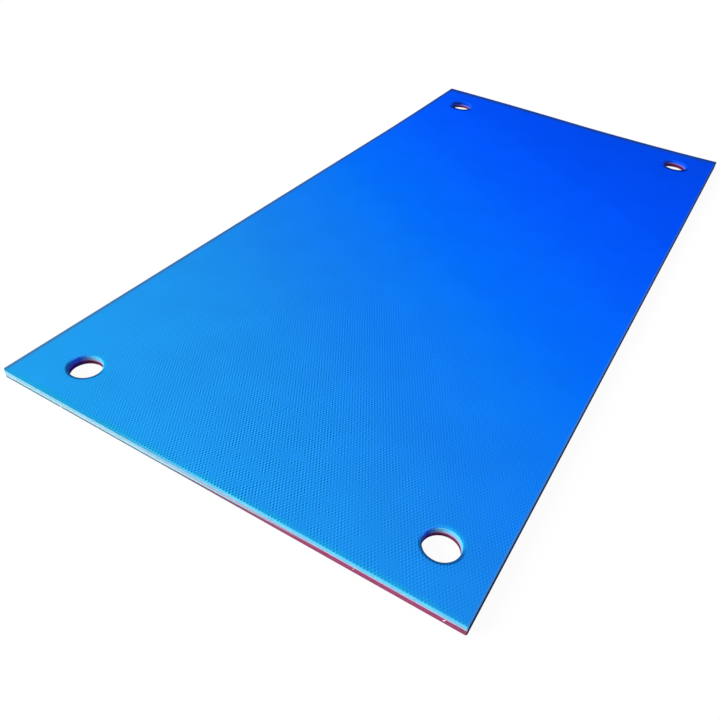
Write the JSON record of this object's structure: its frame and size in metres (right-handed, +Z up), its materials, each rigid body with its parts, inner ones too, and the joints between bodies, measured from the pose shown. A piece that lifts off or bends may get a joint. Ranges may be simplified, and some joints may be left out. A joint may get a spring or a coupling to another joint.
{
  "type": "pool float mat",
  "caption": "Flat rectangular foam float mat for a pool, in layered blue, white and red foam, with a round tether hole near each corner.",
  "frame": {"origin": "centre of the mat's underside, where it rests", "axes": "+Z up, from the red underside to the blue face; +Y along the mat, from the near end to the far end; +X across it, from left to right"},
  "size_m": [0.95, 1.95, 0.021],
  "materials": {
    "blue_foam": "embossed skin, satin",
    "white_foam": "cut foam, dull",
    "red_foam": "embossed skin, satin"
  },
  "bodies": {
    "root": {"bottom_sheet": "red_foam", "middle_sheet": "white_foam", "top_sheet": "blue_foam"}
  },
  "joints": []
}
